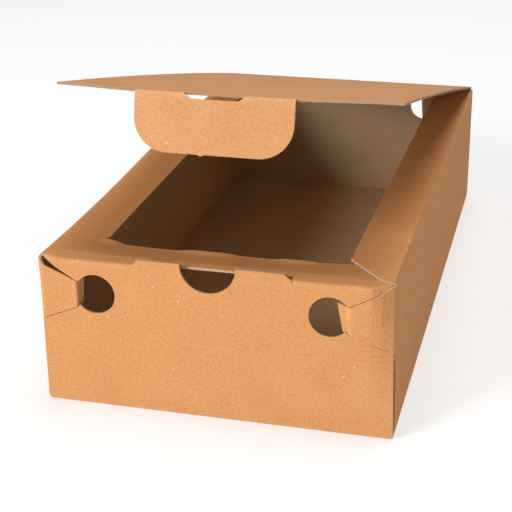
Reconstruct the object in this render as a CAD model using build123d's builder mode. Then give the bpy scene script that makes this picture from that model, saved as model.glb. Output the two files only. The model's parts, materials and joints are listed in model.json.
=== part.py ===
"""Take-away box for a hamburger meal, folded from one sheet of kraft micro-flute board.

Millimetres, +Z up. The front faces -Y, X runs across the front, and the origin is at the middle
of the underside. The lid is modelled raised, on the fold along the top of the back wall.
"""

import os
from math import cos, radians, sin, tan

from build123d import *

# Overall size, outside the board
box_width = 140.0
box_depth = 282.0
box_height = 63.5

# Board and folds
board = 0.9
fold_radius = 1.2
corner_gap = 0.4
cut_gap = 0.5

# Flanges round the mouth
side_flange = 20.0
front_flange = 22.0
left_flange_droop = 0.6
right_flange_droop = 1.4
front_flange_droop = 3.5
front_band = 7.0
front_band_rise = 0.45
front_fold_drop = 0.7
band_radius = 3.0
mitre_reach = 24.5
rear_mitre = 45.0
mitre_gap = 0.35

# Corner locks: a tab of each side wall lies in a notch of the end wall and hooks into its vent
front_lock_length = 15.8
rear_lock_length = 18.6
lock_low = 36.9
lock_high = 62.4
lock_end_low = 42.5
lock_end_high = 54.0
hook_length = 5.5
hook_taper = 1.5
hook_relief = 2.0
front_left_hook = 75.0
front_right_hook = 40.0
rear_hook = 60.0

# Vents in the front and back walls
vent_diameter = 16.6
front_vent_inset = 23.4
front_vent_height = 49.1
rear_vent_inset = 26.5
rear_vent_height = 50.5

# Tongue that stands up from the front wall, with its thumb notch, in front of the slit
tongue_base = 63.0
tongue_top = 56.6
tongue_rise = 1.7
thumb_radius = 11.1
thumb_offset = -1.4
slit_edge = 3.5

# Lid and tuck flap
lid_rear_inset = 1.0
lid_front_inset = 3.9
lid_skew = 3.9
lid_bow = 1.4
lid_angle = 13.5
lid_rest_gap = 0.3
hinge_gap = 0.3
tuck_depth = 23.4
tuck_side_clearance = 0.7
tuck_front_clearance = 1.35
tuck_corner = 12.0
finger_slot_width = 23.0
finger_slot_floor = 18.6
finger_slot_depth = 2.2

# Places that follow from the sizes above
half_width = box_width / 2
half_depth = box_depth / 2
front_fold_z = box_height - front_fold_drop
band_z = front_fold_z + front_band_rise
tongue_z = box_height + tongue_rise
wall_edge = half_width - board - corner_gap
side_end = half_depth - board - corner_gap
hinge_y = half_depth - board / 2
hinge_z = box_height + lid_rest_gap + board / 2
hinge_clear = board / 2 + hinge_gap
tuck_width = tongue_base - 2 * tuck_side_clearance
lid_length = hinge_y + half_depth - board - tuck_front_clearance
beyond = 2.0


def folded_strip(plane, outer_points, radii, length):
    """A strip of board folded along outer_points, as long as length, about its plane."""
    with BuildPart() as strip:
        with BuildSketch(plane):
            with BuildLine():
                FilletPolyline(*outer_points, radius=radii)
                offset(amount=board, side=Side.LEFT)
            make_face()
        extrude(amount=length / 2, both=True)
    return strip.part


def lock_tab(length, hook_angle):
    """A lock tab of that length, bent round the front left corner and hooked inwards by hook_angle."""
    turn = radians(hook_angle)
    crease_x = length - half_width
    path = [
        (-half_width, -half_depth + fold_radius + beyond),
        (-half_width, -half_depth),
        (crease_x, -half_depth),
        (crease_x + hook_length * cos(turn), -half_depth + hook_length * sin(turn)),
    ]
    hook_x = crease_x + hook_length
    outline = [
        (-half_width, lock_low),
        (crease_x, lock_end_low),
        (hook_x, lock_end_low + hook_taper),
        (hook_x, lock_end_high),
        (crease_x, lock_end_high),
        (-half_width, lock_high),
    ]
    with BuildPart() as tab:
        with BuildSketch(Plane.XY.offset(lock_low)):
            with BuildLine():
                FilletPolyline(*path, radius=fold_radius)
                offset(amount=board, side=Side.LEFT)
            make_face()
        extrude(amount=lock_high - lock_low)
        with BuildSketch(Plane.XZ):
            Polygon(*outline, align=None)
        extrude(amount=half_depth + beyond, mode=Mode.INTERSECT, both=True)
    return tab.part


# Side walls with their flanges and the base, folded across the box
side_drops = [side_flange * tan(radians(droop)) for droop in (left_flange_droop, right_flange_droop)]
across_outline = [
    (side_flange - half_width, box_height - side_drops[0]),
    (-half_width, box_height),
    (-half_width, 0),
    (half_width, 0),
    (half_width, box_height),
    (half_width - side_flange, box_height - side_drops[1]),
]
across = folded_strip(Plane.XZ, across_outline, fold_radius, 2 * side_end)

# Front flange, front wall, base and back wall, folded along the box
front_slope = (front_flange - front_band) * tan(radians(front_flange_droop))
along_outline = [
    (front_flange - half_depth, band_z - front_slope),
    (front_band - half_depth, band_z),
    (-half_depth, front_fold_z),
    (-half_depth, 0),
    (half_depth, 0),
    (half_depth, hinge_z),
]
along_radii = [band_radius, fold_radius, fold_radius, fold_radius]
along = folded_strip(Plane.YZ, along_outline, along_radii, box_width)

# Side walls, which stop behind the end walls, with the flanges mitred at both ends
rear_reach = side_flange * tan(radians(rear_mitre))
with BuildPart() as sides:
    add(across)
    with BuildSketch(Plane.XY.offset(box_height + beyond)):
        for side in (-1, 1):
            corner_x = side * half_width
            inner_x = side * (half_width - side_flange - beyond)
            share = (side_flange + beyond) / side_flange
            front_y = mitre_gap - half_depth
            rear_y = half_depth - mitre_gap
            with BuildLine():
                Polyline(
                    (corner_x, front_y), (inner_x, front_y + mitre_reach * share),
                    (inner_x, -half_depth - beyond), (corner_x, -half_depth - beyond), close=True,
                )
            make_face()
            with BuildLine():
                Polyline(
                    (corner_x, rear_y), (inner_x, rear_y - rear_reach * share),
                    (inner_x, half_depth + beyond), (corner_x, half_depth + beyond), close=True,
                )
            make_face()
    extrude(amount=-(beyond + fold_radius + max(side_drops)), mode=Mode.SUBTRACT)

# End walls: as wide as the box, notched for the lock tabs and pierced by the vents
through = half_depth + beyond
front_cuts = (through, front_lock_length, front_vent_inset, front_vent_height)
rear_cuts = (-through, rear_lock_length, rear_vent_inset, rear_vent_height)
with BuildPart() as ends:
    add(along)
    # The back wall ends in a round bead, which the lid turns on
    with BuildSketch(Plane.YZ):
        with Locations((hinge_y, hinge_z)):
            Circle(board / 2)
    extrude(amount=half_width, both=True)
    # Between the end walls the base keeps clear of the side walls' folds
    with BuildSketch(Plane.XY):
        with Locations((-half_width, 0), (half_width, 0)):
            Rectangle(2 * (half_width - wall_edge), box_depth - 2 * board)
    extrude(amount=fold_radius, mode=Mode.SUBTRACT)
    for reach, length, inset, height in (front_cuts, rear_cuts):
        notch_x = half_width - length - hook_relief
        notch = [
            (half_width + beyond, lock_low - cut_gap),
            (half_width, lock_low - cut_gap),
            (notch_x, lock_end_low - cut_gap),
            (notch_x, lock_end_high + cut_gap),
            (half_width, lock_high + cut_gap),
            (half_width + beyond, lock_high + cut_gap),
        ]
        with BuildSketch(Plane.XZ):
            for side in (-1, 1):
                Polygon(*[(side * x, z) for x, z in notch], align=None)
            with Locations((inset - half_width, height), (half_width - inset, height)):
                Circle(vent_diameter / 2)
        extrude(amount=reach, mode=Mode.SUBTRACT)
    # The front flange is mitred to the side flanges
    with BuildSketch(Plane.XY.offset(box_height + beyond)):
        for side in (-1, 1):
            corner_x = side * (half_width - mitre_gap)
            outer_x = side * (half_width + beyond)
            share = (side_flange + beyond) / side_flange
            with BuildLine():
                inner_x = side * (half_width - mitre_gap - side_flange - beyond)
                inner_y = mitre_reach * share - half_depth
                Polyline(
                    (corner_x, -half_depth), (inner_x, inner_y),
                    (outer_x, inner_y), (outer_x, -half_depth), close=True,
                )
            make_face()
    extrude(amount=-(beyond + front_fold_drop + fold_radius + front_slope), mode=Mode.SUBTRACT)
    # The slit parts the flange from the tongue
    with BuildSketch(Plane.XY.offset(front_fold_z - fold_radius)):
        with Locations((0, -half_depth)):
            Rectangle(tongue_base, 2 * slit_edge)
    extrude(amount=tongue_z, mode=Mode.SUBTRACT)
    # The tongue carries the front wall on past the fold
    with BuildSketch(Plane.XZ.offset(half_depth)):
        with BuildLine():
            Polyline(
                (-tongue_base / 2, front_fold_z - fold_radius), (tongue_base / 2, front_fold_z - fold_radius),
                (tongue_base / 2, front_fold_z), (tongue_top / 2, tongue_z),
                (-tongue_top / 2, tongue_z), (-tongue_base / 2, front_fold_z), close=True,
            )
        make_face()
    extrude(amount=-board)
    with BuildSketch(Plane.XZ.offset(half_depth)):
        with Locations((thumb_offset, tongue_z)):
            Circle(thumb_radius)
    extrude(amount=-(board + corner_gap), mode=Mode.SUBTRACT)

# The tray is one sheet: walls, base, flanges and the four hooked locks
front_left = lock_tab(front_lock_length, front_left_hook)
front_right = mirror(lock_tab(front_lock_length, front_right_hook), about=Plane.YZ, mode=Mode.PRIVATE)
rear_left = mirror(lock_tab(rear_lock_length, rear_hook), about=Plane.XZ, mode=Mode.PRIVATE)
rear_right = mirror(rear_left, about=Plane.YZ, mode=Mode.PRIVATE)
with BuildPart() as tray:
    add([sides.part, ends.part, front_left, front_right, rear_left, rear_right])

# The lid hinges on the back wall; in its own plane, u runs from the hinge to the front
tilt = radians(lid_angle)
lid_plane = Plane(origin=(0, hinge_y, hinge_z), x_dir=(0, -cos(tilt), sin(tilt)), z_dir=(-1, 0, 0))
lid_face = Plane(origin=(0, hinge_y, hinge_z), x_dir=(1, 0, 0), z_dir=(0, sin(tilt), cos(tilt)))
tuck_face = Plane(
    origin=lid_plane.from_local_coords((lid_length, board / 2, 0)),
    x_dir=(1, 0, 0),
    z_dir=(0, -cos(tilt), sin(tilt)),
)
with BuildPart() as lid:
    with BuildSketch(lid_plane):
        with BuildLine():
            crown = ThreePointArc(
                (0, board / 2), (lid_length / 2, board / 2 + lid_bow), (lid_length, board / 2)
            )
            Line(crown @ 1, (lid_length, board / 2 - tuck_depth))
            fillet(vertices().sort_by_distance(crown @ 1)[0], fold_radius)
            offset(amount=board, side=Side.RIGHT)
        make_face()
    extrude(amount=half_width, both=True)
    # The lid narrows from the hinge to the front, and is cut a little askew
    with BuildSketch(lid_face):
        with BuildLine():
            Polyline(
                (lid_rear_inset - half_width, 0), (half_width - lid_rear_inset, 0),
                (half_width - lid_front_inset + lid_skew, -lid_length),
                (lid_front_inset - half_width + lid_skew, -lid_length), close=True,
            )
        make_face()
    extrude(amount=tuck_depth + beyond, both=True, mode=Mode.INTERSECT)
    # Beside the tuck flap the lid ends in a cut edge, and a slot opens the fold for a finger
    with BuildSketch(tuck_face):
        Rectangle(box_width + beyond, 2 * (tuck_depth + beyond))
        with Locations((0, tuck_corner)):
            RectangleRounded(
                tuck_width, tuck_depth + tuck_corner, tuck_corner,
                align=(Align.CENTER, Align.MAX), mode=Mode.SUBTRACT,
            )
        Rectangle(tuck_width, tuck_corner, align=(Align.CENTER, Align.MIN), mode=Mode.SUBTRACT)
        slot_slope = (finger_slot_width - finger_slot_floor) / finger_slot_depth
        slot_mouth = finger_slot_width + slot_slope * beyond
        with BuildLine():
            Polyline(
                (-finger_slot_floor / 2, -finger_slot_depth), (finger_slot_floor / 2, -finger_slot_depth),
                (slot_mouth / 2, beyond), (-slot_mouth / 2, beyond), close=True,
            )
        make_face()
    extrude(amount=-fold_radius, mode=Mode.SUBTRACT)
    # The rear edge is hollowed round the bead on the back wall
    with BuildSketch(lid_plane):
        Circle(hinge_clear)
    extrude(amount=half_width, both=True, mode=Mode.SUBTRACT)

tray.part.label = "tray"
lid.part.label = "lid"
os.makedirs("parts", exist_ok=True)
export_step(tray.part, "parts/tray.step")
export_step(lid.part, "parts/lid.step")
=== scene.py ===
"""Looks of the folded take-away box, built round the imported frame.

The box is one die-cut sheet of board. Each panel is laid out flat, in millimetres as on that sheet, then
folded into place, warped a little as card is, welded to its neighbours and thickened to the board.
"""

import json
import math

import bmesh
import bpy
import numpy as np
from mathutils import Matrix, Vector
from mathutils.geometry import delaunay_2d_cdt
from mathutils.kdtree import KDTree


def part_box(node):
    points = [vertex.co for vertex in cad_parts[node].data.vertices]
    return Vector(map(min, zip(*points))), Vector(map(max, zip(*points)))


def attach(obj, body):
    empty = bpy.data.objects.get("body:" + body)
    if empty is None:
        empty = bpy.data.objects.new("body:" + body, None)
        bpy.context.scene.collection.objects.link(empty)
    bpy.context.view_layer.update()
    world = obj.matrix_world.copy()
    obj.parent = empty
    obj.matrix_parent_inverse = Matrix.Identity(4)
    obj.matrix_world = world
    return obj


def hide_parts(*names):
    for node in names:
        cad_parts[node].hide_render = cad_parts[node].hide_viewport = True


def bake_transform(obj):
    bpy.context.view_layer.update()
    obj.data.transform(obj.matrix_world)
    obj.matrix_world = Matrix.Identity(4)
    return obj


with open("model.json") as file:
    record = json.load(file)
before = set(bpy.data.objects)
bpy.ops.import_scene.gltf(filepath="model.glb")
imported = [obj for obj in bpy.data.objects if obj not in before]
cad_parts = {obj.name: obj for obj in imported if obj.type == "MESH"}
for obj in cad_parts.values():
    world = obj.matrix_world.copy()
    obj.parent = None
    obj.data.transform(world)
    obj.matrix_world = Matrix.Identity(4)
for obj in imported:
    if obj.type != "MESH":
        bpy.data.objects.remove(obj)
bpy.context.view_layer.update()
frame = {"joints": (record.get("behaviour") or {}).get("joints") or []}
tray_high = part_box("tray")[1]
hinge = frame["joints"][0]

# Units: the flat sheet is laid out in millimetres, Blender works in metres
MM = 0.001

# Overall size, outside the board
half_width = tray_high.x / MM
half_depth = tray_high.y / MM
box_height = 63.5

# Board and folds
board = 0.9
fold_radius = 1.2
corner_gap = 0.4
flute_pitch = 2.4
wall_edge = half_width - board - corner_gap
foot_rounding = 1.7

# Flanges round the mouth; each side flange narrows from its front width to its rear width
side_flange = 20.0
side_widths = {-1: (20.2, 17.0), 1: (20.8, 19.4)}
front_flange = 22.0
left_droop = math.radians(0.6)
right_droop = math.radians(1.4)
front_droop = math.radians(3.5)
# The front fold lies below the side folds, and the far edge of its band lies above it
front_band = 7.0
band_radius = 3.0
front_drop = 0.7
front_fold_z = box_height - front_drop
band_rise = 0.45
band_z = front_fold_z + band_rise
mitre_reach = 24.5
mitre_gaps = {-1: 0.0, 1: 0.4}

# Corner locks, each with its own length from the corner to the hook, turn and length of the hook below
# and above, width of the cut above the tab at the corner and at the hook, and width of the cut below it
lock_low, lock_high = 36.9, 62.4
lock_end_low, lock_end_high = 42.8, 54.0
hook_relief = 2.0
front_left, front_right, rear_left, rear_right = (-1, -1), (1, -1), (-1, 1), (1, 1)
lock_lengths = {front_left: 14.9, front_right: 16.6, rear_left: 18.6, rear_right: 18.6}
hook_turns = {front_left: 64.0, front_right: 40.0, rear_left: 28.0, rear_right: 28.0}
hook_lengths = {
    front_left: (3.5, 4.4), front_right: (3.5, 7.0),
    rear_left: (9.5, 10.6), rear_right: (9.5, 10.6),
}
# How far the upper edge of each hook stands above its crease
hook_rises = {front_left: 0.0, front_right: 0.0, rear_left: 5.6, rear_right: 5.6}
# The lower edge of a hook rises this much to its tip, and its upper edge starts this far from the crease
hook_slant = 0.4
hook_shoulder = 1.5
hook_radii = {front_left: 0.75, front_right: 2.4, rear_left: 0.75, rear_right: 0.75}
upper_cuts = {
    front_left: (-0.2, 0.2), front_right: (0.05, 0.2),
    rear_left: (0.5, 0.4), rear_right: (0.5, 0.4),
}
lower_cuts = {front_left: 0.16, front_right: 0.02, rear_left: 0.3, rear_right: 0.3}
# The cut above the front right tab is torn, up to this share of the way to the corner. Every cut runs
# past the corner
torn_lock = front_right
torn_seed = 4
torn_points = 32
torn_depths = (-0.12, 0.18)
torn_share = 0.97
overcut = 2.0
# How far the upper edge of each tab has sunk below its cut, with less in the last bit at the corner
tab_sinks = {front_left: 2.4, front_right: 0.0, rear_left: 0.0, rear_right: 0.0}
sink_end = 1.5
sink_share = 0.4

# Vents, each with its distance from the corner, height and radius; tongue and thumb notch
vents = {
    front_left: (22.6, 49.1, 8.2), front_right: (23.8, 49.5, 8.2),
    rear_left: (27.0, 52.0, 7.4), rear_right: (27.0, 52.0, 7.4),
}
half_tongue = 31.5
tongue_left, tongue_right = -29.7, 26.7
shoulder_x, shoulder_z = 28.7, 65.0
tongue_z = tray_high.z / MM
slit_drop = 1.7
slit_z = front_fold_z - slit_drop
thumb_radius = 11.1
thumb_offset = -1.4
# In the wall the thumb notch runs into the slit by this much
thumb_overlap = 2.0
slit_edge = 3.5
# The slit is wider than the tuck flap by this much on each side, up to this far behind the fold
slit_play = 0.4
slit_run = 2.2

# Lid and tuck flap
hinge_y, hinge_z = hinge["pos_m"][1] / MM, hinge["pos_m"][2] / MM
lid_angle = -math.radians(hinge["range_deg"][0])
# Closed, the lid ends this far behind the front wall
lid_play = 1.35
lid_length = hinge_y + half_depth - board - lid_play
lid_rear_inset = 1.0
lid_front_inset = 3.9
lid_skew = 3.9
lid_bow = 1.4
# The front corners of the lid curl up, between these distances from its middle
lid_curl = 0.9
lid_curl_span = (25.0, 66.0)
tuck_width = 61.2
tuck_depth = 22.6
tuck_corner = 13.0
# Nick that the die left on the edge of the tuck flap: place, half width, height and taper
nick_p, nick_half, nick_rise, nick_taper = -4.3, 1.1, 0.45, 0.6
slot_width, slot_floor, slot_depth = 24.0, 18.6, 2.2

# The hinge fold is a strip of its own, from here on the back wall to here on the lid
strip_low = 1.6
strip_high = 2.4

# How this box has settled. A pair of numbers says where a warp starts and where it is full.
# Near the front corners, which start this far from the middle, the fold is bent back, and so is the right
# tab, by (distance from the corner, setback)
corner_start = 58.0
fold_kinks = {-1: [(0.0, 1.2), (7.0, 0.0)], 1: [(0.0, 5.0), (2.3, 4.2), (8.0, 0.0)]}
tab_kinks = [(0.0, 4.4), (5.0, 1.0), (8.2, 0.0)]
# The share of that setback by height, where it fades out on the flange and where it starts on the side wall
fold_kink_heights = (57.0, 62.5)
kink_shares = [(12.0, 0.0), (37.0, 0.4), (54.0, 1.0)]
kink_fade = (3.0, 14.0)
tab_kink_start = 124.0
# The front flange dips between its ends, and its lip curls up in places: (middle, half length, rise)
lip_dip = 0.9
dip_span = (30.0, 52.0)
dip_start = 0.25
lip_curls = [(-48.0, 6.0, 0.9), (-7.0, 15.0, 0.75), (29.0, 11.0, 0.7)]
curl_crest = 0.35
curl_reach = 4.0
# Its left end lies flush on the side flange, its right end below
left_rise = 1.1
left_rise_span = (40.0, 60.0)
corner_rise = 0.7
corner_rise_heights = (57.0, 62.0)
right_sink = 0.6
right_sink_span = (48.0, 62.0)
right_sink_run = (1.0, 6.0)
# The side walls lean outwards at the front, by height, and the right edge of the front wall with them
side_leans = {
    -1: [(30.0, 0.0), (38.0, 0.4), (50.0, 0.5), (60.0, 0.7)],
    1: [(1.0, 1.5), (9.0, 1.6), (20.0, 1.4), (37.0, 0.75), (56.0, 0.5), (63.0, 0.0)],
}
front_lean = [(1.0, 1.5), (45.0, 0.0)]
lean_reach = {-1: 30.0, 1: 280.0}
# The top of the left wall bows outwards, most behind its middle
left_bow = 2.6
bow_rise, bow_fall = (-90.0, 40.0), 60.0
bow_low, bow_start = 4.0, 50.0
# Below its tab the right wall stands back from the front wall, so that a seam shows
seam = 1.4
seam_start = 122.0
seam_low, seam_high = (2.0, 7.0), (28.0, 36.0)

# Mesh: spacing of the grid on the flat sheet, and steps round each fold, circle and rounded corner
panel_step = 2.5
front_step = 1.5
tab_step = 1.0
hinge_step = 0.5
fold_steps = 6
circle_steps = 72
foot_steps = 5
tuck_steps = 13
# Points on an outline keep this far from each other, and points of the grid this far from an outline
outline_spacing = 0.12
grid_clearance = 0.15
# Grid lines on each kink of the right tab and just beside it, by distance from the corner
kink_side = 0.3
kink_lines = [away + d for away, _ in tab_kinks[1:] for d in (-kink_side, 0, kink_side)]
# Wear reaches about this far from the middle of a crease, and edges over this angle look sharp
wear_reach = 1.1
sharp_angle = math.radians(45)


# Folded profiles

def unit(vector):
    return vector / np.linalg.norm(vector)


def middle_line(outer):
    """The line halfway through the board, to the left of its outer face."""
    points = np.array(outer, float)
    ahead = np.array([unit(step) for step in np.diff(points, axis=0)])
    left = np.stack([-ahead[:, 1], ahead[:, 0]], 1)
    corner = left[:-1] + left[1:]
    corner /= (1 + np.sum(left[:-1] * left[1:], 1))[:, None]
    return points + board / 2 * np.vstack([left[:1], corner, left[-1:]])


class Profile:
    """The middle of a folded strip, straight runs joined by arcs, by the length along it."""

    def __init__(self, outer, radii):
        corners = middle_line(outer)
        self.folds = []
        runs = []
        here, length = corners[0], 0.0
        for before, corner, after, radius in zip(corners, corners[1:], corners[2:], radii):
            enter, leave = unit(corner - before), unit(after - corner)
            turn = math.atan2(enter[0] * leave[1] - enter[1] * leave[0], enter @ leave)
            cut = radius * math.tan(abs(turn) / 2)
            runs.append((length, here, enter, 0.0))
            length += np.linalg.norm(corner - here) - cut
            arc = radius * abs(turn)
            runs.append((length, corner - cut * enter, enter, turn / arc))
            self.folds.append((length, length + arc))
            length += arc
            here = corner + cut * leave
        runs.append((length, here, leave, 0.0))
        self.length = length + np.linalg.norm(corners[-1] - here)
        self.starts, self.origins, self.headings, self.bends = (np.array(x, float) for x in zip(*runs))

    def __call__(self, length):
        length = np.atleast_1d(np.asarray(length, float))
        k = np.clip(np.searchsorted(self.starts, length, side="right") - 1, 0, None)
        run, bend, heading = length - self.starts[k], self.bends[k], self.headings[k]
        straight = bend == 0
        divisor = np.where(straight, 1.0, bend)
        ahead = np.where(straight, run, np.sin(bend * run) / divisor)
        aside = np.where(straight, 0.0, (1 - np.cos(bend * run)) / divisor)
        left = np.stack([-heading[:, 1], heading[:, 0]], 1)
        return self.origins[k] + ahead[:, None] * heading + aside[:, None] * left


# Flat panels

def spaced(keys, step, folds=()):
    """Grid lines through the keys, no further apart than step, with extra ones across the folds."""
    keys = sorted(set(round(float(k), 6) for k in [*keys, *[edge for fold in folds for edge in fold]]))
    lines = []
    for low, high in zip(keys, keys[1:]):
        inside_fold = any(start - 1e-4 <= low and high <= end + 1e-4 for start, end in folds)
        count = fold_steps if inside_fold else max(1, math.ceil((high - low) / step))
        lines.extend(np.linspace(low, high, count + 1)[:-1])
    return np.array([*lines, keys[-1]])


def circle(p, q, radius):
    angles = np.linspace(0, 2 * math.pi, circle_steps, endpoint=False)
    return [(p + radius * math.cos(a), q + radius * math.sin(a)) for a in angles]


def inside(points, loop):
    """Which points lie inside the loop."""
    x, y = points[:, 0], points[:, 1]
    result = np.zeros(len(points), bool)
    for (x0, y0), (x1, y1) in zip(loop, [*loop[1:], loop[0]]):
        if y0 != y1:
            crosses = (y0 > y) != (y1 > y)
            result ^= crosses & (x < x0 + (y - y0) / (y1 - y0) * (x1 - x0))
    return result


def divided(loop, p_lines, q_lines):
    """The loop's points, with one wherever it crosses a grid line."""
    result = []
    for a, b in zip(np.array(loop), np.array([*loop[1:], loop[0]])):
        span = b - a
        length = np.linalg.norm(span)
        shares = []
        for axis, lines in ((0, p_lines), (1, q_lines)):
            if abs(span[axis]) > 1e-9:
                shares.extend((lines - a[axis]) / span[axis])
        kept = [0.0]
        for share in sorted(shares):
            if min(share - kept[-1], 1 - share) * length > outline_spacing:
                kept.append(share)
        result.extend(a + share * span for share in kept)
    return result


def cut_panel(solid, cuts, p_lines, q_lines):
    """A panel cut out of the flat sheet: its points and triangles."""
    loops = [divided(loop, p_lines, q_lines) for loop in [solid, *cuts]]
    points, edges = [], []
    for loop in loops:
        first = len(points)
        points.extend(loop)
        edges.extend((first + i, first + (i + 1) % len(loop)) for i in range(len(loop)))
    tree = KDTree(len(points))
    for i, (p, q) in enumerate(points):
        tree.insert((p, q, 0), i)
    tree.balance()
    grid = np.array([(p, q) for p in p_lines for q in q_lines])
    wanted = inside(grid, solid)
    for cut in cuts:
        wanted &= ~inside(grid, cut)
    points.extend(g for g in grid[wanted] if tree.find((*g, 0))[2] > grid_clearance)
    made = delaunay_2d_cdt([Vector(p) for p in points], edges, [], 0, 1e-5)
    flat = np.array([tuple(v) for v in made[0]])
    triangles = np.array(made[2])
    centres = flat[triangles].mean(1)
    wanted = inside(centres, solid)
    for cut in cuts:
        wanted &= ~inside(centres, cut)
    return flat, triangles[wanted]


# Board: folded panels, welded into one sheet with a thickness

def smooth(value, start, end):
    """From 0 at start to 1 at end, with no kink."""
    t = np.clip((value - start) / (end - start), 0, 1)
    return t * t * (3 - 2 * t)


class Board:
    """Panels of one sheet. Counter-clockwise on the flat sheet is the inner face."""

    def __init__(self):
        self.flat, self.folded, self.crease, self.triangles = [], [], [], []
        self.count = 0

    def add(self, panel, folded, creases=()):
        """A cut panel, its folded points, and its crease lines as (axis, place) on the flat sheet."""
        flat, triangles = panel
        near = np.zeros(len(flat))
        for axis, place in creases:
            near = np.maximum(near, np.exp(-((flat[:, axis] - place) / wear_reach) ** 2))
        self.flat.append(flat)
        self.folded.append(folded)
        self.crease.append(near)
        self.triangles.append(triangles + self.count)
        self.count += len(flat)

    def piece(self, name, materials):
        """The thickened sheet as a Blender object, with its flat layout as UV map."""
        middle, flat = np.vstack(self.folded), np.vstack(self.flat)
        crease, triangles = np.concatenate(self.crease), np.vstack(self.triangles)
        triangles = weld(middle, triangles)
        used, triangles = np.unique(triangles, return_inverse=True)
        triangles = triangles.reshape(-1, 3)
        middle, flat, crease = middle[used], flat[used], crease[used]

        corners = middle[triangles]
        face_normals = np.cross(corners[:, 1] - corners[:, 0], corners[:, 2] - corners[:, 0])
        normals = np.zeros_like(middle)
        for k in range(3):
            np.add.at(normals, triangles[:, k], face_normals)
        normals /= np.linalg.norm(normals, axis=1)[:, None]

        count = len(middle)
        points = np.vstack([middle - normals * board / 2, middle + normals * board / 2])
        rim = open_edges(triangles)
        faces = [tuple(t) for t in triangles[:, ::-1]]
        faces += [tuple(t + count) for t in triangles]
        faces += [(a + count, a, b, b + count) for a, b in rim]
        mesh = bpy.data.meshes.new(name)
        mesh.from_pydata((points * MM).tolist(), [], faces)
        kinds = np.zeros(len(faces), np.int32)
        kinds[2 * len(triangles):] = 1
        mesh.polygons.foreach_set("material_index", kinds)
        corner_points = np.zeros(len(mesh.loops), np.int32)
        mesh.loops.foreach_get("vertex_index", corner_points)
        layout = mesh.uv_layers.new(name="Flat")
        layout.uv.foreach_set("vector", (flat[corner_points % count] * MM).astype(np.float32).ravel())
        put_attribute(mesh, "crease", np.tile(crease, 2))
        put_attribute(mesh, "depth", np.repeat([0.0, 1.0], count))
        for material in materials:
            mesh.materials.append(material)
        mesh.shade_smooth()
        mesh.set_sharp_from_angle(angle=sharp_angle)
        piece = bpy.data.objects.new(name, mesh)
        bpy.context.scene.collection.objects.link(piece)
        return piece


def weld(points, triangles, within=0.01):
    """The triangles with points that lie within that distance made one."""
    work = bmesh.new()
    verts = [work.verts.new(p) for p in points]
    work.verts.index_update()
    same = bmesh.ops.find_doubles(work, verts=verts, dist=within)["targetmap"]
    target = np.arange(len(points))
    for old, new in same.items():
        target[old.index] = new.index
    work.free()
    triangles = target[triangles]
    whole = (triangles != np.roll(triangles, 1, axis=1)).all(1)
    return triangles[whole]


def open_edges(triangles):
    """The edges that only one triangle has, in that triangle's direction."""
    directed = {(a, b) for t in triangles.tolist() for a, b in zip(t, [*t[1:], t[0]])}
    return [(a, b) for a, b in sorted(directed) if (b, a) not in directed]


def put_attribute(mesh, name, values):
    attribute = mesh.attributes.new(name, "FLOAT", "POINT")
    attribute.data.foreach_set("value", np.asarray(values, np.float32))


# Tray

middle_radius = fold_radius - board / 2
across = Profile(
    [
        (side_flange - half_width, box_height - side_flange * math.tan(left_droop)),
        (-half_width, box_height),
        (-half_width, 0),
        (half_width, 0),
        (half_width, box_height),
        (half_width - side_flange, box_height - side_flange * math.tan(right_droop)),
    ],
    [middle_radius] * 4,
)
along = Profile(
    [
        (front_flange - half_depth, band_z - (front_flange - front_band) * math.tan(front_droop)),
        (front_band - half_depth, band_z),
        (-half_depth, front_fold_z),
        (-half_depth, 0),
        (half_depth, 0),
        (half_depth, hinge_z),
    ],
    [band_radius - board / 2, middle_radius, middle_radius, middle_radius],
)

# On the flat sheet p runs across and q along, from the middle of the base
across_zero = across.folds[1][1] + half_width - fold_radius
along_zero = along.folds[2][1] + half_depth - fold_radius
p_folds = [(a - across_zero, b - across_zero) for a, b in across.folds]
q_folds = [(a - along_zero, b - along_zero) for a, b in along.folds]
p_ends = (-across_zero, across.length - across_zero)
q_front_end = -along_zero
base_end = half_depth - fold_radius


def side_p(side, z):
    """Where height z of a side wall lies on the flat sheet."""
    return p_folds[2][1] + z - fold_radius if side > 0 else p_folds[1][0] - z + fold_radius


def end_q(end, z):
    """Where height z of the front or back wall lies on the flat sheet."""
    return q_folds[3][1] + z - fold_radius if end > 0 else q_folds[2][0] - z + fold_radius


def set_back(x, kinks):
    """How far back a point that far to the right is bent."""
    return np.interp(half_width - x, *zip(*kinks))


def leaned(x, y, z, side, lean):
    """How far a point near that side has moved along x, which is outwards."""
    share = smooth(side * x, corner_start, wall_edge) * np.clip(1 - (y + base_end) / lean_reach[side], 0, 1)
    return side * np.interp(z, *zip(*lean)) * share


def settle_front(points):
    """The front wall and its flange: bent at the corners, leaning, and waved along the lip."""
    x, y, z = points.T
    run = y + half_depth
    dip = lip_dip * (1 - smooth(abs(x), *dip_span)) * smooth(run, dip_start * front_flange, front_flange)
    wave = np.zeros(len(x))
    for middle, half_length, rise in lip_curls:
        wave += rise * (1 - smooth(abs(x - middle), curl_crest * half_length, half_length))
    wave *= smooth(run, front_flange - curl_reach, front_flange)
    ends = left_rise * smooth(-x, *left_rise_span) * smooth(run, 0, front_flange)
    ends += corner_rise * smooth(-x, corner_start, wall_edge) * smooth(z, *corner_rise_heights)
    ends -= right_sink * smooth(x, *right_sink_span) * smooth(run, *right_sink_run)
    back = set_back(x, tab_kinks) * np.interp(z, *zip(*kink_shares))
    for side in (-1, 1):
        back = np.maximum(back, set_back(side * x, fold_kinks[side]) * smooth(z, *fold_kink_heights))
    back *= 1 - smooth(run, *kink_fade)
    return np.stack([x + leaned(x, y, z, 1, front_lean), y + back, z - dip + wave + ends], 1)


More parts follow.
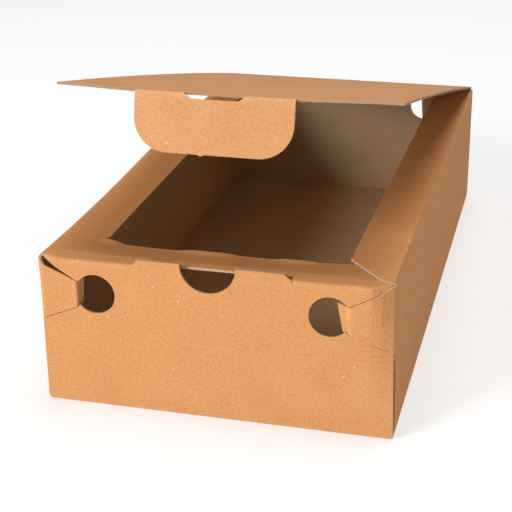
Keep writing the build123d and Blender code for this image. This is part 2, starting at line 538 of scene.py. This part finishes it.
def settle_side(points):
    """The base, side walls and lock tabs: kinked at the right front corner, leaning and bowed."""
    x, y, z = points.T
    back = set_back(x, tab_kinks) * smooth(-y, tab_kink_start, base_end) * np.interp(z, *zip(*kink_shares))
    opened = smooth(-y, seam_start, base_end) * smooth(z, *seam_low) * (1 - smooth(z, *seam_high))
    back += seam * opened * (x > wall_edge)
    bow = left_bow * smooth(y, *bow_rise) * (1 - smooth(y, bow_fall, base_end))
    bow *= smooth(z, bow_low, box_height) * smooth(-x, bow_start, wall_edge)
    lean = leaned(x, y, z, -1, side_leans[-1]) + leaned(x, y, z, 1, side_leans[1])
    return np.stack([x + lean - bow, y + back, z], 1)


def side_outline(side):
    """The outline of a side wall and its flange, from the front corner of the base to the rear one."""
    droop = right_droop if side > 0 else left_droop
    tip = p_ends[1] if side > 0 else p_ends[0]
    top_start, top_end = p_folds[3] if side > 0 else p_folds[0][::-1]
    shoulder = side_flange - abs(tip - top_end) * math.cos(droop)
    mitre_y = half_depth - mitre_gaps[side]
    slopes = mitre_reach / side_flange, 1
    points = []
    for end, slope, width in zip((-1, 1), slopes, side_widths[side]):
        half = [
            (side * wall_edge, end * base_end),
            (side_p(side, lock_low), end * base_end),
            (side_p(side, lock_high), end * base_end),
            (top_start, end * base_end),
            (top_end, end * (mitre_y - slope * shoulder)),
            (top_end + side * (width - shoulder) / math.cos(droop), end * (mitre_y - slope * width)),
        ]
        points.extend(half if end < 0 else half[::-1])
    return points


def fold_across(flat):
    place = across(flat[:, 0] + across_zero)
    return np.stack([place[:, 0], flat[:, 1], place[:, 1]], 1)


def fold_along(flat):
    place = along(flat[:, 1] + along_zero)
    return np.stack([flat[:, 0], place[:, 0], place[:, 1]], 1)


base_lines = spaced([-wall_edge, -half_tongue, half_tongue, wall_edge], front_step)
side_keys = [side_p(s, z) for s in (-1, 1) for z in (lock_low, lock_high)]
p_lines = np.unique(np.round(np.concatenate([
    base_lines,
    spaced([p_ends[0], -wall_edge, *side_keys[:2]], panel_step, p_folds[:2]),
    spaced([p_ends[1], wall_edge, *side_keys[2:]], panel_step, p_folds[2:]),
]), 6))


def side_panels(sheet):
    """Base, side walls and side flanges."""
    q_lines = spaced([-base_end, base_end], panel_step)
    outline = side_outline(1) + side_outline(-1)[::-1]
    panel = cut_panel(outline, [], p_lines, q_lines)
    creases = [(0, (a + b) / 2) for a, b in p_folds]
    sheet.add(panel, settle_side(fold_across(panel[0])), creases)


def end_cuts(end):
    """The notches for the lock tabs and the vents of an end wall."""
    rng = np.random.default_rng(torn_seed)
    corner_x = half_width - fold_radius
    cuts = []
    for side in (-1, 1):
        crease_x = half_width - lock_lengths[side, end]
        at_corner, at_hook = upper_cuts[side, end]
        low = lower_cuts[side, end]
        notch = [
            (half_width + overcut, lock_low - low), (corner_x, lock_low - low),
            (crease_x, lock_end_low - low), (crease_x - hook_relief, lock_end_low + hook_relief),
            (crease_x - hook_relief, lock_end_high + at_hook),
        ]
        upper_points = torn_points if (side, end) == torn_lock else 2
        for share in np.linspace(0, 1, upper_points):
            nick = rng.uniform(*torn_depths) if 0 < share < torn_share else 0.0
            height = (1 - share) * (lock_end_high + at_hook) + share * (lock_high + at_corner)
            notch.append((crease_x + share * (corner_x - crease_x), height + nick))
        notch.append((half_width + overcut, notch[-1][1]))
        inset, height, radius = vents[side, end]
        vent = circle(half_width - inset, height, radius)
        for cut in (notch, vent):
            cuts.append([(side * x, end_q(end, z)) for x, z in cut])
    return cuts


def foot(end, edge):
    """The foot of an end wall at the right: a small notch at the base, then a rounded corner."""
    fold_middle = end_q(end, fold_radius / 2)
    points = [(edge, end * base_end)]
    for a in np.radians(np.linspace(0, 90, foot_steps)):
        inset, rise = foot_rounding * (1 - math.sin(a)), foot_rounding * (1 - math.cos(a))
        points.append((half_width - inset, fold_middle + end * rise))
    return points


def front_panels(sheet):
    """Front wall with its flange, and the tongue that stands in front of the slit."""
    fold_start, fold_end = q_folds[1][1], q_folds[1][0]
    slit_low = end_q(-1, slit_z)
    slit_high = q_front_end + (front_flange - slit_edge) / math.cos(front_droop)
    fold_y = float(along(fold_end + along_zero)[0, 0])

    def half_outline(side):
        def mitre_x(y):
            return half_width - mitre_gaps[side] - side_flange * (y + half_depth) / mitre_reach

        return [
            *foot(-1, wall_edge),
            (half_width, end_q(-1, lock_low)),
            (half_width - mitre_gaps[side], end_q(-1, lock_high)),
            (half_width - mitre_gaps[side], fold_start),
            (mitre_x(fold_y), fold_end),
            (mitre_x(front_flange - half_depth), q_front_end),
        ]

    outline = half_outline(1) + [(-x, q) for x, q in half_outline(-1)[::-1]]
    slit_turn = fold_end - slit_run
    half_slit = tuck_width / 2 + slit_play
    slit = [
        (-half_tongue, slit_low), (half_tongue, slit_low), (half_slit, slit_turn),
        (tongue_right, slit_high), (tongue_left, slit_high), (-half_slit, slit_turn),
    ]
    thumb = circle(thumb_offset, end_q(-1, tongue_z), thumb_radius)
    wall_thumb = [(p, q) for p, q in thumb if q > end_q(-1, slit_z + thumb_overlap)]
    rows = spaced([q_front_end, slit_high, slit_low, -base_end], front_step, q_folds[:3])
    kinks = [half_width - away for away in kink_lines]
    columns = spaced(
        [-half_width, -wall_edge, -half_tongue, half_tongue, *kinks, wall_edge, half_width], front_step)
    panel = cut_panel(outline, [*end_cuts(-1), slit, wall_thumb], columns, rows)
    creases = [(1, (a + b) / 2) for a, b in q_folds[:3]]
    sheet.add(panel, settle_front(fold_along(panel[0])), creases)

    tongue = [
        (half_tongue, slit_low), (half_tongue, end_q(-1, front_fold_z)),
        (shoulder_x, end_q(-1, shoulder_z)), (tongue_right, end_q(-1, tongue_z)),
        (tongue_left, end_q(-1, tongue_z)), (-half_tongue, end_q(-1, front_fold_z)), (-half_tongue, slit_low),
    ]
    rows = spaced([slit_low, end_q(-1, front_fold_z), end_q(-1, tongue_z)], tab_step)
    panel = cut_panel(tongue, [thumb], columns, rows)
    x, height = panel[0][:, 0], front_fold_z - (panel[0][:, 1] - end_q(-1, front_fold_z))
    upright = np.full(len(x), board / 2 - half_depth)
    sheet.add(panel, np.stack([x, upright, height], 1))


def back_panel(sheet):
    """Back wall, up to the strip that the hinge fold takes."""
    top = end_q(1, hinge_z - strip_low)
    right = [*foot(1, wall_edge), (half_width, top)]
    outline = right + [(-x, q) for x, q in right[::-1]]
    columns = spaced([-half_width, -wall_edge, -half_tongue, half_tongue, wall_edge, half_width], front_step)
    rows = spaced([base_end, top], panel_step, q_folds[3:])
    panel = cut_panel(outline, end_cuts(1), columns, rows)
    sheet.add(panel, fold_along(panel[0]), [(1, sum(q_folds[3]) / 2)])


def lock_tabs(sheet):
    """The tabs of the side walls, bent round the corners and hooked into the vents."""
    for (side, end), angle in hook_turns.items():
        turn = math.radians(angle)
        short, long = hook_lengths[side, end]
        crease_x = lock_lengths[side, end] - half_width
        bend = Profile(
            [
                (-half_width, fold_radius - half_depth),
                (-half_width, -half_depth),
                (crease_x, -half_depth),
                (crease_x + long * math.cos(turn), long * math.sin(turn) - half_depth),
            ],
            [middle_radius, hook_radii[side, end]],
        )
        corner, crease = bend.folds[0][1], sum(bend.folds[1]) / 2
        slope = (lock_high - tab_sinks[side, end] - lock_end_high) / (crease - corner)
        outline = [
            (0, lock_low), (corner, lock_low), (crease, lock_end_low),
            (bend.length - long + short, lock_end_low + hook_slant),
            (bend.length, lock_end_high + hook_rises[side, end]),
            (crease + hook_shoulder, lock_end_high + hook_rises[side, end]), (crease, lock_end_high),
            (corner + sink_end, lock_end_high + slope * (crease - corner - sink_end)),
            (corner, lock_high - sink_share * tab_sinks[side, end]), (0, lock_high),
        ]
        kinks = [corner - fold_radius + away for away in kink_lines]
        lengths = spaced([0, *kinks, bend.length], tab_step, bend.folds)
        heights = p_lines[(p_lines > side_p(1, lock_low) - 1e-4) & (p_lines < side_p(1, lock_high) + 1e-4)]
        heights = heights - side_p(1, 0)
        run, triangles = cut_panel(outline, [], lengths, heights)
        place = bend(run[:, 0])
        folded = np.stack([-side * place[:, 0], -end * place[:, 1], run[:, 1]], 1)
        flat = np.stack([side_p(side, 0) + side * run[:, 1], end * (base_end + run[:, 0])], 1)
        if side * end > 0:
            triangles = triangles[:, ::-1]
        creases = [(1, end * (base_end + (a + b) / 2)) for a, b in bend.folds]
        sheet.add((flat, triangles), settle_side(folded), creases)


# Lid

lid_out = np.array([0, -math.cos(lid_angle), math.sin(lid_angle)])
lid_up = np.array([0, math.sin(lid_angle), math.cos(lid_angle)])
lid_profile = Profile(
    [(lid_length, board / 2 - tuck_depth), (lid_length, board / 2), (0, board / 2)], [middle_radius])
lid_fold = (lid_profile.length - lid_profile.folds[0][1], lid_profile.length - lid_profile.folds[0][0])
lid_zero = end_q(1, hinge_z)


def place_on_lid(p, out, up):
    """Points given across the lid, out from its hinge and up from its plane."""
    start = np.array([0, hinge_y, hinge_z])
    return start + np.outer(p, [1, 0, 0]) + np.outer(out, lid_out) + np.outer(up, lid_up)


def fold_lid(flat):
    place = lid_profile(lid_profile.length - (flat[:, 1] - lid_zero))
    share = np.clip(place[:, 0] / lid_length, 0, 1)
    bow = 4 * lid_bow * share * (1 - share)
    curl = lid_curl * share ** 2 * smooth(abs(flat[:, 0]), *lid_curl_span)
    return place_on_lid(flat[:, 0], place[:, 0], place[:, 1] + bow + curl)


def lid_panels(sheet):
    """Lid panel, tuck flap and finger slot."""
    def q_of(length):
        return lid_zero + length

    start = strip_high
    front = lid_length - fold_radius
    tip = lid_profile.length
    half_tuck = tuck_width / 2
    corner = []
    for angle in np.linspace(0, 90, tuck_steps):
        a = math.radians(angle)
        inset, short = tuck_corner * (1 - math.cos(a)), tuck_corner * (1 - math.sin(a))
        corner.append((half_tuck - inset, q_of(tip - short)))
    nick = [
        (nick_p + nick_half, q_of(tip)), (nick_p + nick_taper * nick_half, q_of(tip + nick_rise)),
        (nick_p - nick_taper * nick_half, q_of(tip + nick_rise)), (nick_p - nick_half, q_of(tip)),
    ]
    rear = half_width - lid_rear_inset
    front_edges = half_width - lid_front_inset + lid_skew, half_width - lid_front_inset - lid_skew
    outline = [
        (rear, q_of(start)), (front_edges[0], q_of(front)), (half_tuck, q_of(front)), *corner, *nick,
        *[(-p, q) for p, q in corner[::-1]], (-half_tuck, q_of(front)), (-front_edges[1], q_of(front)),
        (-rear, q_of(start)),
    ]
    slot = [
        (-slot_width / 2, q_of(front)), (slot_width / 2, q_of(front)),
        (slot_floor / 2, q_of(lid_fold[1] + slot_depth - fold_radius)),
        (-slot_floor / 2, q_of(lid_fold[1] + slot_depth - fold_radius)),
    ]
    columns = spaced([-rear, -half_tuck, -slot_width / 2, slot_width / 2, half_tuck, rear], panel_step)
    rows = spaced([q_of(start), q_of(front), q_of(tip)], panel_step, [tuple(q_of(f) for f in lid_fold)])
    panel = cut_panel(outline, [slot], columns, rows)
    sheet.add(panel, fold_lid(panel[0]), [(1, q_of(sum(lid_fold) / 2))])


def hinge_strip(sheet):
    """The fold itself, from the back wall round to the lid."""
    edge = half_width - lid_rear_inset
    start = np.array([hinge_y, hinge_z])
    below = start - np.array([0, strip_low])
    beyond = start + strip_high * lid_out[1:]
    half_turn = (math.pi / 2 - lid_angle) / 2
    outer = [
        below + (board / 2, 0),
        start + board / 2 * np.array([1, math.tan(half_turn)]),
        beyond + board / 2 * lid_up[1:],
    ]
    bend = Profile(outer, [middle_radius])
    outline = [(-edge, 0), (edge, 0), (edge, bend.length), (-edge, bend.length)]
    columns = spaced([-edge, edge], panel_step)
    lengths = spaced([0, bend.length], hinge_step, bend.folds)
    flat, triangles = cut_panel(outline, [], columns, lengths)
    place = bend(flat[:, 1])
    folded = np.stack([flat[:, 0], place[:, 0], place[:, 1]], 1)
    flat = flat + (0, end_q(1, hinge_z - strip_low))
    sheet.add((flat, triangles), folded, [(1, lid_zero)])


# Materials

class Nodes:
    """A new material, with helpers that add nodes to it."""

    def __init__(self, name):
        self.material = bpy.data.materials.new(name)
        self.material.use_nodes = True
        self.tree = self.material.node_tree
        self.shader = self.tree.nodes["Principled BSDF"]
        self.flat = self.add("ShaderNodeUVMap", {"uv_map": "Flat"}).outputs["UV"]

    def put(self, socket, value):
        if isinstance(value, bpy.types.NodeSocket):
            self.tree.links.new(value, socket)
        else:
            socket.default_value = value

    def add(self, kind, settings=None, **inputs):
        node = self.tree.nodes.new(kind)
        for key, value in (settings or {}).items():
            setattr(node, key, value)
        for key, value in inputs.items():
            self.put(node.inputs[key.replace("_", " ")], value)
        return node

    def attribute(self, name):
        return self.add("ShaderNodeAttribute", {"attribute_name": name}).outputs["Fac"]

    def noise(self, scale, detail):
        """Noise on the flat sheet, with that many blotches to the metre."""
        node = self.add("ShaderNodeTexNoise", None, Vector=self.flat, Scale=scale, Detail=detail)
        return node.outputs[0]

    def ramp(self, value, low, high, dark=(0, 0, 0, 1), light=(1, 1, 1, 1)):
        node = self.add("ShaderNodeValToRGB", None, Fac=value)
        for element, position, colour in zip(node.color_ramp.elements, (low, high), (dark, light)):
            element.position = position
            element.color = colour
        return node.outputs[0]

    def mix(self, kind, share, under, over):
        node = self.add("ShaderNodeMix", {"data_type": "RGBA", "blend_type": kind})
        for index, value in ((0, share), (6, under), (7, over)):
            self.put(node.inputs[index], value)
        return node.outputs[2]

    def math(self, operation, first, second=0.0):
        node = self.add("ShaderNodeMath", {"operation": operation})
        self.put(node.inputs[0], first)
        self.put(node.inputs[1], second)
        return node.outputs[0]

    def specks(self, scale, size, share):
        """Scattered specks: 1 within size of the middle of that share of the cells, else 0."""
        cells = self.add("ShaderNodeTexVoronoi", None, Vector=self.flat, Scale=scale)
        chosen = self.math("LESS_THAN", self.ramp(cells.outputs["Color"], 0.0, 1.0), share)
        near = self.ramp(cells.outputs["Distance"], 0.6 * size, size, (1, 1, 1, 1), (0, 0, 0, 1))
        return self.math("MULTIPLY", chosen, near)


def kraft_material(name, gloss):
    """Unbleached kraft liner: finely mottled, with specks, worn creases and a duller inner face."""
    nodes = Nodes(name)
    mottle = nodes.noise(780, 5)
    outer = nodes.ramp(mottle, 0.30, 0.72, (0.575, 0.264, 0.098, 1), (0.660, 0.314, 0.124, 1))
    inner = nodes.ramp(mottle, 0.30, 0.72, (0.560, 0.398, 0.238, 1), (0.635, 0.462, 0.288, 1))
    colour = nodes.mix("MIX", nodes.attribute("depth"), outer, inner)
    clouds = nodes.ramp(nodes.noise(55, 3), 0.30, 0.72)
    colour = nodes.mix("SOFT_LIGHT", 0.07, colour, clouds)
    grain = nodes.noise(1700, 3)
    colour = nodes.mix("SOFT_LIGHT", 0.24, colour, nodes.ramp(grain, 0.32, 0.70))
    colour = nodes.mix("MIX", nodes.specks(220, 0.070, 0.26), colour, (0.40, 0.185, 0.070, 1))
    colour = nodes.mix("MIX", nodes.specks(200, 0.066, 0.27), colour, (0.94, 0.73, 0.52, 1))
    wear = nodes.ramp(nodes.noise(120, 4), 0.30, 0.95, light=(0.6, 0.6, 0.6, 1))
    worn = nodes.math("MULTIPLY", nodes.attribute("crease"), wear)
    colour = nodes.mix("MIX", worn, colour, (0.74, 0.44, 0.23, 1))
    nodes.put(nodes.shader.inputs["Base Color"], colour)

    height = nodes.mix("ADD", 0.5, mottle, grain)
    bump = nodes.add("ShaderNodeBump", None, Height=height, Strength=0.10, Distance=0.0002)
    nodes.put(nodes.shader.inputs["Normal"], bump.outputs[0])
    nodes.shader.inputs["Roughness"].default_value = 0.68
    nodes.shader.inputs["Specular IOR Level"].default_value = gloss
    return nodes.material


def edge_material(name, dark, light):
    """Cut edge of the board: two liners with the wave of the flute between them.

    The depth in the board runs from 0 on its outer face to 1 on its inner face.
    """
    nodes = Nodes(name)
    place = nodes.add("ShaderNodeSeparateXYZ", None, Vector=nodes.flat).outputs["X"]
    turns = nodes.math("MULTIPLY", place, 2 * math.pi / (flute_pitch * MM))
    wave = nodes.math("MULTIPLY_ADD", nodes.math("SINE", turns), 0.34)
    wave.node.inputs[2].default_value = 0.5
    off_wave = nodes.math("ABSOLUTE", nodes.math("SUBTRACT", nodes.attribute("depth"), wave))
    off_middle = nodes.math("ABSOLUTE", nodes.math("SUBTRACT", nodes.attribute("depth"), 0.5))
    paper = nodes.math(
        "MAXIMUM",
        nodes.ramp(off_wave, 0.12, 0.18, (1, 1, 1, 1), (0, 0, 0, 1)),
        nodes.ramp(off_middle, 0.32, 0.36),
    )
    grain = nodes.noise(1800, 3)
    # Where there is no paper, the hollows of the flute get a flat dark brown: painted shade
    colour = nodes.mix("MIX", paper, (0.36, 0.22, 0.12, 1), nodes.ramp(grain, 0.3, 0.7, dark, light))
    nodes.put(nodes.shader.inputs["Base Color"], colour)
    bump = nodes.add("ShaderNodeBump", None, Height=paper, Strength=0.4, Distance=0.0002)
    nodes.put(nodes.shader.inputs["Normal"], bump.outputs[0])
    nodes.shader.inputs["Roughness"].default_value = 0.8
    return nodes.material


def floor_material():
    material = bpy.data.materials.new("pale_floor")
    material.use_nodes = True
    shader = material.node_tree.nodes["Principled BSDF"]
    shader.inputs["Base Color"].default_value = (0.5, 0.5, 0.5, 1)
    shader.inputs["Roughness"].default_value = 0.7
    shader.inputs["Emission Color"].default_value = (1, 1, 1, 1)
    shader.inputs["Emission Strength"].default_value = 0.52
    return material


# Stage

def add_camera():
    """The camera of the photograph, fitted to the corners and cut-outs of the box."""
    right = Vector((0.96760019, 0.25233443, -0.00878621))
    down = Vector((0.08949591, -0.37530415, -0.92257101))
    ahead = Vector((-0.23609393, 0.89189356, -0.38572727))
    eye = Vector((131.2, -568.98, 256.74)) * MM
    data = bpy.data.cameras.new("camera")
    focal_pixels, photo_pixels = 1288.8, 512
    data.sensor_width = 36.0
    data.lens = data.sensor_width * focal_pixels / photo_pixels
    camera = bpy.data.objects.new("camera", data)
    place = Matrix((right, -down, -ahead)).transposed().to_4x4()
    place.translation = eye
    camera.matrix_world = place
    bpy.context.scene.collection.objects.link(camera)
    bpy.context.scene.camera = camera


def add_area(name, place, target, size, power):
    """A round white light at a place, turned to the target."""
    data = bpy.data.lights.new(name, "AREA")
    data.shape = "DISK"
    data.size = size
    data.energy = power
    light = bpy.data.objects.new(name, data)
    light.location = place
    light.rotation_mode = "QUATERNION"
    light.rotation_quaternion = (Vector(target) - Vector(place)).to_track_quat("-Z", "Y")
    bpy.context.scene.collection.objects.link(light)


def add_stage():
    """Pale floor, soft lights, and a dim white sky that is paler at the horizon."""
    mesh = bpy.data.meshes.new("floor")
    reach = 60.0
    corners = [(-reach, -reach, 0), (reach, -reach, 0), (reach, reach, 0), (-reach, reach, 0)]
    mesh.from_pydata(corners, [], [(0, 1, 2, 3)])
    mesh.materials.append(floor_material())
    floor = bpy.data.objects.new("floor", mesh)
    bpy.context.scene.collection.objects.link(floor)
    world = bpy.data.worlds.new("studio")
    bpy.context.scene.world = world
    world.use_nodes = True
    tree = world.node_tree
    direction = tree.nodes.new("ShaderNodeTexCoord").outputs["Generated"]
    height = tree.nodes.new("ShaderNodeSeparateXYZ")
    sky = tree.nodes.new("ShaderNodeValToRGB")
    horizon, overhead = (0.04, 0.55), (0.17, 0.12)
    for element, (position, grey) in zip(sky.color_ramp.elements, (horizon, overhead)):
        element.position = position
        element.color = (grey, grey, grey, 1)
    tree.links.new(direction, height.inputs[0])
    tree.links.new(height.outputs["Z"], sky.inputs[0])
    tree.links.new(sky.outputs[0], tree.nodes["Background"].inputs["Color"])
    add_area("key", (-0.95, -1.3, 0.72), (0, -0.1, 0.05), 0.8, 26.2)
    add_area("overhead", (0.2, 0.3, 2.0), (0, 0, 0.05), 1.2, 26)
    view = bpy.context.scene.view_settings
    view.view_transform = "Standard"
    view.look = "None"


# Assembly

kraft = kraft_material("kraft_board", 0.02)
lid_kraft = kraft_material("kraft_lid", 0.35)
cut_edge = edge_material("cut_edge", (0.52, 0.37, 0.25, 1), (0.76, 0.60, 0.46, 1))
# The lid and the hinge fold get a darker copy of the cut edge: painted shade, so that the lid's front edge
# stays dark where the key light falls on it
edge_painted_shade = edge_material("edge_painted_shade", (0.36, 0.225, 0.125, 1), (0.48, 0.315, 0.19, 1))
tray_board = Board()
side_panels(tray_board)
front_panels(tray_board)
back_panel(tray_board)
lock_tabs(tray_board)
tray_sheet = tray_board.piece("tray_sheet", [kraft, cut_edge])
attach(tray_sheet, "tray")
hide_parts("tray")

lid_board = Board()
lid_panels(lid_board)
lid_sheet = lid_board.piece("lid_sheet", [lid_kraft, edge_painted_shade])
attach(lid_sheet, "lid")
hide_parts("lid")

strip_board = Board()
hinge_strip(strip_board)
hinge_fold = strip_board.piece("hinge_fold", [lid_kraft, edge_painted_shade])
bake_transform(hinge_fold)

add_camera()
add_stage()
